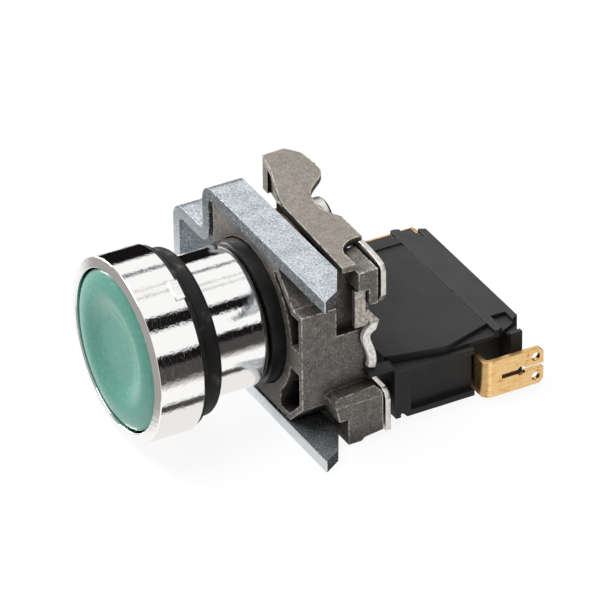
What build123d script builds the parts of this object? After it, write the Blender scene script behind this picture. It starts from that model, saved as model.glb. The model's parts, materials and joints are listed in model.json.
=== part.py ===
"""Panel push button: chrome head, cast fixing collar with screw clamp, and one contact block.

Frame: the button's axis is Y, and the origin lies on it in the plane of the panel's front face,
where the gasket ends. The cap faces -Y and the contact block stands behind, at +Y. The unit lies
on its side: its width (the spacing between two units) runs along Z, and its height along X, with
the open side of the clamp towards +X. Lengths are in millimetres.
"""
from build123d import *
from math import cos, radians, sin
import os

os.makedirs("parts", exist_ok=True)

# ---------------------------------------------------------------- driving dimensions
# Fits and clearances
run_fit = 0.05          # radial gap of a sliding or turning fit
slide_gap = 0.3         # gap between bodies that move past each other
rest_gap = 0.2          # gap between two pieces that meet when the button is pressed

# Travels
press_travel = 4.3      # full stroke of the cap
contact_travel = 2.6    # stroke at which the contacts close
clamp_travel = 10.0     # stroke of the clamp bracket
lever_swing = 18.0      # degrees the locking lever turns

# Head
bezel_r = 14.5
bezel_length = 7.65
bezel_edge = 0.25       # bevel on the front edge
bezel_web = 1.2         # floor of the cap's bore
key_size = (3.2, 1.5)   # keying pad on the rim: along the rim, along the axis
key_height = 0.25
key_angle = 60.0        # degrees from +X towards +Z
bezel_wall = 1.7        # wall round the cap's bore
cap_gap = 0.25
cap_proud = 0.3         # how far the cap's rim stands out of the bezel
cap_plate = 1.3
cap_dish = 0.7          # depth of the hollow in the cap's face
cap_rim = 1.7           # width of the cap's rounded rim
cap_skirt = 1.2         # wall of the cap's skirt
gasket_thickness = 3.7
gasket_wall = 2.05      # wall of the ring round the neck
gasket_lip = 1.0        # how far the flange reaches beyond it
gasket_flange = 0.8
neck_r = 11.0
neck_wall = 1.4
neck_length = 9.25
tail_r = 10.2           # rear part of the neck, inside the collar
tail_length = 11.65
tail_wall = 1.0
lug_count = 3
lug_r = 11.2
lug_width = 3.6
lug_depth = 1.5
seat_depth = 1.25       # ledge that carries the return spring
stem_r = 5.8
seal_width = 1.7
seal_depth = 1.5
pusher_r = 8.5
pusher_length = 9.3
hub_ring = (4.9, 6.2)   # ring on the cap's back that snaps into the pusher: inner and outer radius
hub_depth = 1.9
plate_r = 8.9           # actuator plate at the rear of the pusher
plate_thickness = 1.8
spigot_r = 3.0
ring_wall = 1.05        # black bayonet ring

# Collar
collar_reach = 16.2     # from the axis to the flat side wall
collar_back = 11.6      # from the axis to the opposite side
collar_gap = 2.2        # from the end of the neck to the collar's front
collar_bore_r = 11.45
hub_r = 13.0            # ring round the bore
front_depth = 5.85      # depth of the front frame
pocket_depth = 5.0
collar_wall = 0.9
collar_chamfer = 3.9
rear_depth = 6.0
rear_wall = 1.0         # least wall round the recess for the lever's ring
ear_reach = 19.5        # from the axis to the outside of the ears
ear_top = -6.5          # top of the lower ears
ear_edge = (1.1, 1.4)   # bevel on an ear's outer top edge: across and down
ear_step = -10.4        # where an ear's nose ends
ear_nose = 2.0          # how far the nose stands in front of the rear frame
boss_r = 3.7
boss_depth = 3.8

# Clamp
unit_width = 30.0       # over the clamp's two flanges
plate_t = 2.0           # thickness of the clamp's steel
clamp_depth = 5.8
clamp_lead = 0.35       # how far the clamp stands in front of the collar
clamp_reach = 24.1      # from the axis to the open ends
clamp_fold = 13.4       # from the axis to the folds beside the neck
clamp_back = 23.3       # from the axis to the closed side
pocket_half = 5.5       # half height of the screw pocket
clamp_web = 1.6
fold_r = 1.0
screw_x = -17.5
screw_r = 1.95
screw_head_r = 3.4
screw_head = 2.45

# Locking lever
lever_plate = 1.0
lever_wall = 2.0        # of the ring that turns in the collar
lever_rise = 1.5        # how far the handle's top stands above that ring
lever_gap = 0.4         # between that ring and the recess round it
lever_ring = 5.4
cam_depth = 1.6
lever_lug = 6.0

# Latch plate and spring
latch_t = 0.9
latch_pad = 0.35        # pads that hold the plate clear of the lever

# Contact block
block_half = 16.2
block_length = 23.15
block_gap = 1.8         # between latch plate and block
cover_t = 1.4
case_wall = 1.3
rib = 1.0               # ribs that frame the side recess
bay_depth = 2.8         # how far the terminal bays reach in
label_depth = 0.3
notch_depth = 0.8       # of the notches in the cover's sides
carrier_gap = 0.4       # between the moving carrier and the chamber's floor and roof
strap_z = -4.7          # middle of the straps that reach over the ears

# Terminals: each a 6.3 x 0.8 quick-connect tab, split into two prongs of 2.8
prong_width = 2.8
prong_gap = 0.7
tab_t = 0.8
tab_drop = 1.25         # how far the tabs' middle lies below the block's
strip_start = 5.8       # inner end of a terminal's strip, from the axis
tab_reach = 19.6
tab_end = 50.9
tab_bend = 1.0
prong_hole_r = 0.7

# Contacts
tip_r = 1.4
tip_t = 0.6
bridge_width = 4.0
bridge_half = 9.4
tip_x = 7.8

# ---------------------------------------------------------------- derived places along Y
bezel_rear = -gasket_thickness
bezel_front = bezel_rear - bezel_length
cap_bore_r = bezel_r - bezel_wall
cap_r = cap_bore_r - cap_gap
gasket_bore_r = neck_r + run_fit
gasket_r = gasket_bore_r + gasket_wall
gasket_flange_r = gasket_r + gasket_lip
cap_floor = bezel_rear - bezel_web
neck_end = neck_length
tail_end = neck_end + tail_length
seat_front = neck_end - seat_depth
neck_bore_r = neck_r - neck_wall
cap_front = bezel_front - cap_proud
cap_back = cap_front + cap_plate + cap_dish
skirt_end = cap_floor - press_travel - slide_gap
pusher_rear = cap_back + pusher_length
plate_rear = tail_end + 0.1
plate_front = plate_rear - plate_thickness
lug_front = tail_end - lug_depth
collar_width = unit_width - 2 * (plate_t + slide_gap)
lever_r = collar_bore_r + run_fit + lever_wall
lever_bore_r = lever_r + lever_gap
lever_top = lever_r + lever_rise
rear_width = 2 * (lever_bore_r + rear_wall)
ear_roof = lever_top - lever_plate - slide_gap
collar_front = neck_end + collar_gap
frame_rear = collar_front + front_depth
collar_rear = frame_rear + rear_depth
clamp_front = collar_front - clamp_lead
clamp_rear = clamp_front + clamp_depth
web_rear = clamp_rear - 0.7
boss_front = clamp_rear + slide_gap
boss_rear = boss_front + boss_depth
head_front = boss_rear + clamp_travel + slide_gap
latch_front = collar_rear + latch_pad
latch_rear = latch_front + latch_t
block_front = latch_rear + block_gap
block_rear = block_front + block_length
block_pitch = unit_width / 3      # three blocks stand side by side
block_width = block_pitch - rest_gap
block_z = -block_pitch
tab_z = block_z - tab_drop
block_top = block_z + block_width / 2
block_bottom = block_z - block_width / 2
case_top = block_top - cover_t


def across(y):
    """Plane of constant Y, drawn in X and Z; a negative extrusion runs towards +Y."""
    return Plane.XZ.offset(-y)


def finish(builder, name, colour):
    """Label one sub-part and write it to its own file."""
    builder.part.label = name
    builder.part.color = Color(colour)
    export_step(builder.part, f"parts/{name}.step")


# ================================================================ head
# Bezel and neck: one turned casting. The bore for the cap opens at the front, the neck carries
# the ledge for the return spring, and lugs on its tail lock into the collar.
with BuildPart() as bezel_body:
    with BuildSketch(Plane.XY):
        with BuildLine():
            Polyline(
                (cap_bore_r, bezel_front), (bezel_r, bezel_front), (bezel_r, bezel_rear),
                (neck_r, bezel_rear), (neck_r, neck_end), (tail_r, neck_end), (tail_r, tail_end),
                (tail_r - tail_wall, tail_end), (tail_r - tail_wall, neck_end),
                (stem_r + slide_gap, neck_end), (stem_r + slide_gap, seat_front),
                (neck_bore_r, seat_front), (neck_bore_r, cap_floor + seal_depth),
                (pusher_r + run_fit + seal_width, cap_floor + seal_depth),
                (pusher_r + run_fit + seal_width, cap_floor), (cap_bore_r, cap_floor), close=True,
            )
        make_face()
    revolve(axis=Axis.Y)
    front_rim = bezel_body.edges().filter_by(GeomType.CIRCLE).group_by(Axis.Y)[0]
    chamfer(front_rim.sort_by(SortBy.RADIUS)[-1], bezel_edge)
    with BuildSketch(across(lug_front)):
        with PolarLocations(tail_r, lug_count, start_angle=90):
            Rectangle(4 * (lug_r - tail_r), lug_width)
        Circle(lug_r, mode=Mode.INTERSECT)
        Circle(tail_r - tail_wall / 2, mode=Mode.SUBTRACT)
    extrude(amount=-lug_depth)
    key_plane = Plane(
        origin=(bezel_r * cos(radians(key_angle)), bezel_rear - key_size[1] / 2,
                bezel_r * sin(radians(key_angle))),
        x_dir=(0, 1, 0), z_dir=(cos(radians(key_angle)), 0, sin(radians(key_angle))),
    )
    with BuildSketch(key_plane.offset(-1)):
        Rectangle(key_size[1], key_size[0])
    extrude(amount=1 + key_height)
finish(bezel_body, "bezel_body", "silver")

# Cap: a plate dished in front, with a rim, a short skirt and a snap ring for the pusher.
with BuildPart() as button_cap:
    with BuildSketch(Plane.XY):
        with BuildLine():
            Polyline((0, cap_back), (0, cap_front + cap_dish), (0.5 * cap_r, cap_front + 0.8 * cap_dish),
                     (cap_r - cap_rim, cap_front), (cap_r - 0.3 * cap_rim, cap_front + 0.3 * cap_rim),
                     (cap_r, cap_front + 0.9 * cap_rim), (cap_r, skirt_end),
                     (cap_r - cap_skirt, skirt_end), (cap_r - cap_skirt, cap_back),
                     (hub_ring[1], cap_back), (hub_ring[1], cap_back + hub_depth),
                     (hub_ring[0], cap_back + hub_depth), (hub_ring[0], cap_back), (0, cap_back))
        make_face()
    revolve(axis=Axis.Y)
finish(button_cap, "button_cap", "seagreen")

# Pusher: its front takes the cap's snap ring, its body runs in the lip seal, and its stem passes
# through the return spring and the neck's ledge.
with BuildPart() as pusher:
    with BuildSketch(Plane.XY):
        with BuildLine():
            Polyline(
                (0, cap_back), (hub_ring[0], cap_back), (hub_ring[0], cap_back + hub_depth),
                (hub_ring[1], cap_back + hub_depth), (hub_ring[1], cap_back),
                (pusher_r, cap_back), (pusher_r, pusher_rear), (stem_r, pusher_rear),
                (stem_r, plate_front), (spigot_r, plate_front), (spigot_r, plate_rear),
                (0, plate_rear), close=True,
            )
        make_face()
    revolve(axis=Axis.Y)
finish(pusher, "pusher", "dimgray")

# Actuator plate: the disc at the pusher's rear that reaches all three block positions.
with BuildPart() as actuator_plate:
    with BuildSketch(across(plate_front)):
        Circle(plate_r)
        Circle(spigot_r, mode=Mode.SUBTRACT)
        with PolarLocations(plate_r, 2):
            Rectangle(3.0, 4.0, mode=Mode.SUBTRACT)
    extrude(amount=-plate_thickness)
finish(actuator_plate, "actuator_plate", "dimgray")


def coil(wire_r, coil_r, start, end, turns, x=0.0, z=0.0):
    """Compression spring along Y between two seats, with a four-sided wire."""
    height = end - start - 2 * wire_r
    path = Helix(pitch=height / turns, height=height, radius=coil_r,
                 center=(x, start + wire_r, z), direction=(0, 1, 0))
    with BuildPart() as spring:
        with BuildLine():
            add(path)
        with BuildSketch(Plane(origin=path @ 0, z_dir=path % 0)):
            RegularPolygon(wire_r, 4)
        sweep(path=path, is_frenet=True)
    return spring


return_spring = coil(0.4, 7.6, pusher_rear, seat_front, 3)
finish(return_spring, "return_spring", "lightsteelblue")

# Panel gasket: a thick rubber ring with a thin flange against the bezel.
with BuildPart() as panel_gasket:
    with BuildSketch(Plane.XY):
        with BuildLine():
            Polyline(
                (gasket_bore_r, bezel_rear), (gasket_flange_r, bezel_rear),
                (gasket_flange_r, bezel_rear + gasket_flange),
                (gasket_r, bezel_rear + gasket_flange), (gasket_r, 0), (gasket_bore_r, 0),
                close=True,
            )
        make_face()
    revolve(axis=Axis.Y)
finish(panel_gasket, "panel_gasket", "black")

# Lip seal: sits in the bezel's floor and wipes the pusher.
with BuildPart() as lip_seal:
    with BuildSketch(Plane.XY):
        with BuildLine():
            Polyline(
                (pusher_r + run_fit, cap_floor + 0.7), (pusher_r + run_fit + 0.7, cap_floor),
                (pusher_r + run_fit + seal_width, cap_floor),
                (pusher_r + run_fit + seal_width, cap_floor + seal_depth),
                (pusher_r + run_fit, cap_floor + seal_depth), close=True,
            )
        make_face()
    revolve(axis=Axis.Y)
finish(lip_seal, "lip_seal", "black")

# Bayonet ring: black plastic sleeve on the neck's tail that centres the collar.
with BuildPart() as bayonet_ring:
    with BuildSketch(across(neck_end)):
        Circle(tail_r + ring_wall)
        Circle(tail_r, mode=Mode.SUBTRACT)
    extrude(amount=-(frame_rear - 0.1 - neck_end))
finish(bayonet_ring, "bayonet_ring", "black")

# ================================================================ collar
half_width = collar_width / 2
slant_x = collar_reach - 2.6      # where the side wall's top turns into the slanted wall
slant_z = 7.5
slant_top = slant_x - (half_width - slant_z) * 0.96


rear_half = rear_width / 2
wall_rear = frame_rear + 4.35     # rear edge of the flat side wall
wall_top = 2.6
left_reach = lever_bore_r + 1.4

with BuildPart() as collar_body:
    # front frame, with the hub left standing between the pockets
    with BuildSketch(across(collar_front)):
        with BuildLine():
            Polyline(
                (collar_reach, slant_z), (slant_x, slant_z), (slant_top, half_width),
                (-collar_back, half_width), (-collar_back, -half_width),
                (collar_reach - collar_chamfer, -half_width),
                (collar_reach, -half_width + collar_chamfer), close=True,
            )
        make_face()
    extrude(amount=-front_depth)
    with BuildSketch(across(collar_front)):
        with BuildLine():
            Polyline(
                (9.3, -3.0), (collar_reach - collar_wall, -3.0),
                (collar_reach - collar_wall, -half_width + collar_chamfer + 0.4),
                (collar_reach - collar_chamfer - 0.3, -half_width + 1.0),
                (9.3, -half_width + 1.0), close=True,
            )
        make_face()
        with BuildLine():
            Polyline(
                (9.0, 0.9), (collar_reach - collar_wall, 0.9),
                (collar_reach - collar_wall, slant_z - collar_wall),
                (slant_x - 0.4, slant_z - collar_wall), (slant_top - 0.6, half_width - 1.0),
                close=True,
            )
        make_face()
        Circle(hub_r, mode=Mode.SUBTRACT)
    extrude(amount=-pocket_depth, mode=Mode.SUBTRACT)
    # rear frame: bottom wall, side walls and ears round the lever's recess
    with BuildSketch(across(frame_rear)):
        with Locations((0, -rear_half)):
            Rectangle(2 * left_reach, 2.4, align=(Align.CENTER, Align.MIN))
        for side in (-1, 1):
            with Locations((side * left_reach, -rear_half)):
                Rectangle(5.0, rear_half - 6.0,
                          align=(Align.MAX if side > 0 else Align.MIN, Align.MIN))
        with Locations((-left_reach, -8.0)):
            Rectangle(2.4, 11.5, align=(Align.MIN, Align.MIN))
        with Locations((collar_reach, -9.0)):
            Rectangle(3.2, 9.0 + wall_top, align=(Align.MAX, Align.MIN))
    extrude(amount=-rear_depth)
    # upper ear, and the wall that carries it
    with BuildSketch(across(frame_rear)):
        with Locations((14.6, wall_top)):
            Rectangle(3.6, ear_roof - wall_top, align=(Align.MAX, Align.MIN))
    extrude(amount=-rear_depth)
    with BuildSketch(across(frame_rear + 2.8)):
        with Locations((12.4, ear_roof)):
            Rectangle(ear_reach - 1.4 - 12.4, 3.2, align=(Align.MIN, Align.MAX))
    extrude(amount=-(rear_depth - 2.8))
    with BuildSketch(across(wall_rear + rest_gap)):
        with Locations((12.4, ear_roof)):
            Rectangle(ear_reach - 1.4 - 12.4, 6.0, align=(Align.MIN, Align.MAX))
    extrude(amount=-(collar_rear - wall_rear - rest_gap))
    with BuildSketch(across(collar_rear)):
        with Locations((15.0, ear_roof - 2.4)):
            Circle(1.2)
    extrude(amount=-latch_pad)
    # the flat side wall stops short of the rear
    with BuildSketch(across(wall_rear)):
        with Locations((collar_reach, -5.0)):
            Rectangle(3.4, 5.0 + wall_top + 0.1, align=(Align.MAX, Align.MIN))
    extrude(amount=-rear_depth, mode=Mode.SUBTRACT)
    # lower ears: a foot behind the clamp on each side, with a nose reaching forwards over it
    for side, nose_front in ((1, frame_rear - ear_nose), (-1, frame_rear + 0.1)):
        ear_middle = side * (ear_reach + left_reach - 1.0) / 2
        with BuildSketch(Plane.YZ.offset(ear_middle)):
            with BuildLine():
                Polyline(
                    (nose_front, ear_top - 0.9), (nose_front + 0.8, ear_top - 0.3),
                    (collar_rear - 0.9, ear_top), (collar_rear, ear_top - 0.8),
                    (collar_rear, -rear_half + 0.9), (collar_rear - 3.1, -rear_half + 0.5),
                    (collar_rear - 3.7, -rear_half), (frame_rear + 0.1, -rear_half),
                    (frame_rear + 0.1, ear_step), (nose_front + 0.6, ear_step), close=True,
                )
            make_face()
        extrude(amount=(ear_reach - left_reach + 1.0) / 2, both=True)
        with BuildSketch(across(nose_front - 0.1)):
            with BuildLine():
                Polyline((side * (ear_reach - ear_edge[0]), ear_top),
                         (side * ear_reach, ear_top - ear_edge[1]),
                         (side * (ear_reach + 1), ear_top - ear_edge[1]),
                         (side * (ear_reach + 1), ear_top + 1),
                         (side * (ear_reach - ear_edge[0]), ear_top + 1), close=True)
            make_face()
        extrude(amount=-(collar_rear - nose_front + 0.2), mode=Mode.SUBTRACT)
        with BuildSketch(across(collar_rear)):
            with Locations((side * 16.6, -11.0)):
                Circle(1.2)
        extrude(amount=-latch_pad)
    # boss for the clamp screw
    with BuildSketch(across(boss_front)):
        with Locations((screw_x, 0)):
            Circle(boss_r)
        with Locations((screw_x, 0)):
            Rectangle(-screw_x - lever_bore_r + 1.0, 2 * boss_r - 1.2,
                      align=(Align.MIN, Align.CENTER))
    extrude(amount=-boss_depth)
    # bores
    with BuildSketch(across(collar_front)):
        Circle(collar_bore_r)
    extrude(amount=-front_depth, mode=Mode.SUBTRACT)
    with BuildSketch(across(frame_rear)):
        Circle(lever_bore_r)
    extrude(amount=-rear_depth, mode=Mode.SUBTRACT)
    with BuildSketch(across(boss_front)):
        with Locations((screw_x, 0)):
            Circle(screw_r + run_fit)
    extrude(amount=-boss_depth, mode=Mode.SUBTRACT)
    # room for the screw's head when the clamp is drawn up
    with BuildSketch(across(boss_rear)):
        with Locations((screw_x, 0)):
            Circle(screw_head_r + slide_gap)
    extrude(amount=-(collar_rear - boss_rear + 1), mode=Mode.SUBTRACT)
finish(collar_body, "collar_body", "gray")

# Locking lever: a ring that turns in the collar's rear recess, three cams that hold the head's
# lugs, and a hooked handle over the top.
lever_front = frame_rear + slide_gap
handle_front = frame_rear + 0.45
with BuildPart() as locking_lever:
    with BuildSketch(across(lever_front)):
        Circle(lever_r)
        Circle(collar_bore_r + run_fit, mode=Mode.SUBTRACT)
    extrude(amount=-lever_ring)
    with BuildSketch(across(lever_front)):
        Circle(collar_bore_r + 0.4)
        Circle(tail_r + 0.15, mode=Mode.SUBTRACT)
        with PolarLocations(lug_r, lug_count, start_angle=90 - lever_swing):
            Rectangle(4.0, lug_width + 0.6, mode=Mode.SUBTRACT)
    extrude(amount=-cam_depth)
    with BuildSketch(across(lever_front + 0.9)):
        with Locations((0, lever_r - 0.8)):
            Rectangle(9.0, lever_rise - lever_plate + 1.3,
                      align=(Align.CENTER, Align.MIN))
    extrude(amount=-(lever_ring - 0.9))
    # handle, drawn from its own front edge
    with BuildSketch(Plane(origin=(0, handle_front, lever_top - lever_plate))):
        with BuildLine():
            Polyline((17.3, 0), (-2.2, 0.65), (-5.6, 1.55), (-12.5, 3.95), (-16.5, 4.8),
                     (-16.7, 8.55), (-14.4, 10.25), (-11.7, 10.55))
            Spline((-11.7, 10.55), (-7.5, 10.0), (-5.0, 7.35), (-2.6, 5.65), (0.6, 5.25), (4.6, 6.85),
                   tangents=((1, 0.05), (1, 0.6)))
            Polyline((4.6, 6.85), (10.9, 6.85))
            ThreePointArc((10.9, 6.85), (11.2, 4.35), (13.7, 2.25))
            Polyline((13.7, 2.25), (17.3, 2.25), (17.3, 0))
        make_face()
    extrude(amount=lever_plate)
    # lug at the handle's end, and the web that joins it to the ring
    with BuildSketch(Plane(origin=(0, handle_front, lever_top - lever_lug))):
        with BuildLine():
            Polyline((-14.9, 4.75), (-16.5, 4.8), (-16.7, 8.45), (-15.4, 9.25), close=True)
        make_face()
        with BuildLine():
            Polyline((-15.4, 5.4), (-12.3, 4.8), (-9.0, 3.6), (-9.0, 4.6), (-12.3, 5.8),
                     (-15.4, 6.6), close=True)
        make_face()
    extrude(amount=lever_lug - lever_plate / 2)
finish(locking_lever, "locking_lever", "darkgray")

# Latch plate: spring steel behind the collar that keeps the lever in and grips the block.
with BuildPart() as latch_plate:
    with BuildSketch(across(latch_front)):
        Circle(lever_r - 0.1)
        # tongue behind the upper ear
        with BuildLine():
            Polyline((9.6, 7.4), (9.6, lever_top - 1.1), (11.5, lever_top - 1.1),
                     (11.5, lever_top - 0.3), (14.0, lever_top - 0.4), (16.4, lever_top - 0.6),
                     (17.9, lever_top - 1.0), (ear_reach - 1.1, lever_top - 1.7),
                     (ear_reach - 1.1, 8.9), (17.4, 7.4), close=True)
        make_face()
        # tongues behind the lower ears
        for side in (-1, 1):
            with BuildLine():
                Polyline((side * 7.0, -rear_half + 0.5), (side * 7.0, -10.0), (side * 10.5, -7.4),
                         (side * 18.2, -7.4), (side * (ear_reach - 0.4), -7.8),
                         (side * (ear_reach + 0.1), -8.8), (side * (ear_reach + 0.1), -rear_half + 0.5),
                         close=True)
            make_face()
        Circle(plate_r + 0.8, mode=Mode.SUBTRACT)
        Rectangle(6.4, 23.2, mode=Mode.SUBTRACT)
    extrude(amount=-latch_t)
finish(latch_plate, "latch_plate", "lightgray")

# Latch spring: stamped steel strip with a wavy tail beside the flat side wall.
spring_x = collar_reach + 0.25
with BuildPart() as latch_spring:
    with BuildSketch(Plane.YZ.offset(spring_x)):
        with Locations((wall_rear + 0.05, 3.8)):
            Rectangle(1.9, 6.4, align=(Align.MAX, Align.MIN))
        with BuildLine() as tail:
            Polyline((wall_rear - 0.1, 6.2), (wall_rear + 1.6, 4.0), (wall_rear + 1.2, 3.0))
            Spline((wall_rear + 1.2, 3.0), (wall_rear + 0.1, 1.6), (wall_rear + 0.75, -0.7),
                   (wall_rear + 1.1, -2.2), (wall_rear + 0.9, -4.0))
        trace(lines=tail.wires()[0], line_width=1.3)
    extrude(amount=latch_t)
finish(latch_spring, "latch_spring", "lightgray")

# ================================================================ clamp
flange_z = (unit_width - plate_t) / 2
with BuildPart() as clamp_bracket:
    with BuildSketch(across(clamp_front)):
        with BuildLine() as strip:
            FilletPolyline(
                (clamp_reach, flange_z), (-clamp_fold, flange_z), (-clamp_fold, pocket_half),
                (-clamp_back, pocket_half), (-clamp_back, -pocket_half),
                (-clamp_fold, -pocket_half), (-clamp_fold, -flange_z), (clamp_reach, -flange_z),
                radius=fold_r + plate_t / 2,
            )
        trace(lines=strip.wires()[0], line_width=plate_t)
    extrude(amount=-clamp_depth)
    # the open ends taper off at the rear
    with BuildSketch(Plane.XY.offset(-unit_width)):
        with BuildLine():
            Polyline((clamp_reach - 6.8, clamp_rear), (clamp_reach - 1.8, clamp_rear - 2.8),
                     (clamp_reach, clamp_front + 0.2), (clamp_reach + 5, clamp_front + 0.2),
                     (clamp_reach + 5, clamp_rear + 5), (clamp_reach - 6.8, clamp_rear + 5),
                     close=True)
        make_face()
    extrude(amount=2 * unit_width, mode=Mode.SUBTRACT)
    # web on which the screw's tip bears
    with BuildSketch(across(web_rear)):
        with Locations((-(clamp_back + clamp_fold) / 2, 0)):
            Rectangle(clamp_back - clamp_fold, 2 * pocket_half - plate_t + 0.4)
    extrude(amount=clamp_web)
finish(clamp_bracket, "clamp_bracket", "lightsteelblue")

# Clamp screw: threaded through the collar's boss, its tip on the clamp's web.
with BuildPart() as clamp_screw:
    with BuildSketch(across(web_rear + run_fit)):
        with Locations((screw_x, 0)):
            Circle(screw_r)
    extrude(amount=-(head_front - web_rear - run_fit))
    with BuildSketch(across(head_front)):
        with Locations((screw_x, 0)):
            Circle(screw_head_r)
    extrude(amount=-screw_head)
    head_rim = clamp_screw.edges().filter_by(GeomType.CIRCLE).group_by(Axis.Y)[-1]
    chamfer(head_rim, 0.4)
    with BuildSketch(across(head_front + screw_head)):
        with Locations((screw_x, 0)):
            Rectangle(4.2, 0.8)
            Rectangle(0.8, 4.2)
    extrude(amount=1.4, mode=Mode.SUBTRACT)
finish(clamp_screw, "clamp_screw", "silver")

# ================================================================ contact block
bay_x = block_half - bay_depth
tab_width = 2 * prong_width + prong_gap
bay_front = block_front + 14.0
bay_rear = block_rear - 2.9
strip_y = bay_front + 0.65        # middle of the terminal's strip
fixed_face = strip_y - tab_t / 2 - tip_t
bridge_rear = fixed_face - contact_travel - tip_t
bridge_front = bridge_rear - tab_t
spring_room = 4.5
window_front = bridge_front - spring_room
carrier_front = window_front - 1.0
carrier_rear = bridge_rear + run_fit + 1.5
carrier_height = block_width - cover_t - case_wall - 2 * carrier_gap
plunger_tip = plate_rear + rest_gap
plunger_z = -(plate_r + slide_gap)
plunger_half = (2.4, 1.6)
cavity_half = bay_x - 1.0
cavity_front = block_front + 1.45
cavity_rear = block_rear - 1.7

with BuildPart() as block_case:
    with BuildSketch(Plane.XY.offset(block_bottom)):
        with BuildLine():
            Polyline((-block_half + 1.4, block_front), (block_half - 1.4, block_front),
                     (block_half, block_front + 1.4), (block_half, block_rear - 1.6),
                     (block_half - 2.2, block_rear), (-block_half + 2.2, block_rear),
                     (-block_half, block_rear - 1.6), (-block_half, block_front + 1.4),
                     close=True)
        make_face()
    extrude(amount=case_top - block_bottom)
    # ribs that frame the recess in each side
    for side in (-1, 1):
        with BuildSketch(Plane.YZ.offset(side * block_half)):
            with BuildLine():
                Polyline((block_front + 1.2, case_top), (block_front + 1.2, block_bottom + 1.2),
                         (block_front + 2.4, block_bottom), (bay_front, block_bottom),
                         (bay_front, case_top), close=True)
            make_face()
            with Locations((block_front + 3.0, block_bottom + 1.0)):
                Rectangle(bay_front - block_front - 3.0, case_top - block_bottom - 1.9,
                          align=(Align.MIN, Align.MIN), mode=Mode.SUBTRACT)
        extrude(amount=side * rib)
        # terminal bay
        with BuildSketch(Plane.XY.offset(block_bottom)):
            with Locations((side * (bay_x + 10), (bay_front + bay_rear) / 2)):
                Rectangle(20, bay_rear - bay_front)
        extrude(amount=block_width, mode=Mode.SUBTRACT)
        # rear corner, flush with the ribs
        with BuildSketch(Plane.XY.offset(block_bottom)):
            with Locations((side * (block_half + rib), bay_rear)):
                Rectangle(rib + 1.0, block_rear - 0.9 - bay_rear,
                          align=(Align.MAX if side > 0 else Align.MIN, Align.MIN))
        extrude(amount=case_top - block_bottom)
        # strap that reaches over the collar's ear, and the web that joins it to the case
        with BuildSketch(Plane.YZ.offset(side * (ear_reach - 2.2))):
            with BuildLine() as strap:
                FilletPolyline((wall_rear, strap_z), (block_front - 0.05, strap_z),
                               (block_front - 0.05, block_bottom + 1.5), radius=0.9)
            trace(lines=strap.wires()[0], line_width=0.7)
        extrude(amount=1.0, both=True)
        with BuildSketch(across(block_front - 0.2)):
            with Locations((side * (ear_reach - 1.2), block_bottom + 1.0)):
                Rectangle(3.8, block_top - block_bottom - 1.6,
                          align=(Align.MAX if side > 0 else Align.MIN, Align.MIN))
        extrude(amount=-0.9)
    # the near corner carries a lip beside the cover
    with BuildSketch(Plane.XY.offset(case_top)):
        with Locations((block_half + rib, bay_rear)):
            Rectangle(rib - 0.2, block_rear - 0.9 - bay_rear, align=(Align.MAX, Align.MIN))
    extrude(amount=cover_t - notch_depth)
    # chamber for the moving contact, and the hole for the plunger
    with BuildSketch(Plane.XY.offset(block_bottom + case_wall)):
        with Locations((0, (cavity_front + cavity_rear) / 2)):
            Rectangle(2 * cavity_half, cavity_rear - cavity_front)
    extrude(amount=block_width, mode=Mode.SUBTRACT)
    # grooves that hold the terminals' strips
    for side in (-1, 1):
        with BuildSketch(Plane.YZ.offset(side * strip_start)):
            with Locations((strip_y, tab_z)):
                Rectangle(tab_t, tab_width)
        extrude(amount=side * (bay_x - strip_start + 1), mode=Mode.SUBTRACT)
    with BuildSketch(across(block_front - 1)):
        with Locations((0, plunger_z)):
            Rectangle(2 * plunger_half[0] + 2 * slide_gap, 2 * plunger_half[1] + 2 * slide_gap)
    extrude(amount=-4, mode=Mode.SUBTRACT)
    # pads that seat on the latch plate
    for side in (-1, 1):
        with BuildSketch(across(latch_rear)):
            with Locations((side * 11.5, block_z - 3.4)):
                Rectangle(3.0, 2.4)
        extrude(amount=-block_gap)
finish(block_case, "block_case", "dimgray")

with BuildPart() as block_cover:
    with BuildSketch(Plane.XY.offset(case_top)):
        with BuildLine():
            Polyline((-14.2, block_front), (14.2, block_front), (block_half, block_front + 9.0),
                     (block_half, block_rear - 4.4), (block_half - 1.5, block_rear - 1.2),
                     (block_half - 2.2, block_rear), (-block_half + 2.2, block_rear),
                     (-block_half + 1.5, block_rear - 1.2), (-block_half, block_rear - 4.4),
                     (-block_half, block_front + 9.0), close=True)
        make_face()
    extrude(amount=cover_t)
    with BuildSketch(Plane.XY.offset(block_top)):
        with Locations((0.4, block_front + 1.6)):
            Rectangle(25.4, 16.35, align=(Align.CENTER, Align.MIN))
    extrude(amount=-label_depth, mode=Mode.SUBTRACT)
    for side in (-1, 1):
        with BuildSketch(Plane.XY.offset(block_top)):
            with BuildLine():
                Polyline((side * block_half, block_front + 10.0),
                         (side * (block_half - 2.4), block_rear - 5.1),
                         (side * block_half, block_rear - 5.1), close=True)
            make_face()
            with Locations((side * (block_half - 3.9), block_rear - 2.4)):
                Rectangle(6, 2.6, align=(Align.MIN if side > 0 else Align.MAX, Align.CENTER))
        extrude(amount=-notch_depth, mode=Mode.SUBTRACT)
finish(block_cover, "block_cover", "dimgray")

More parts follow.
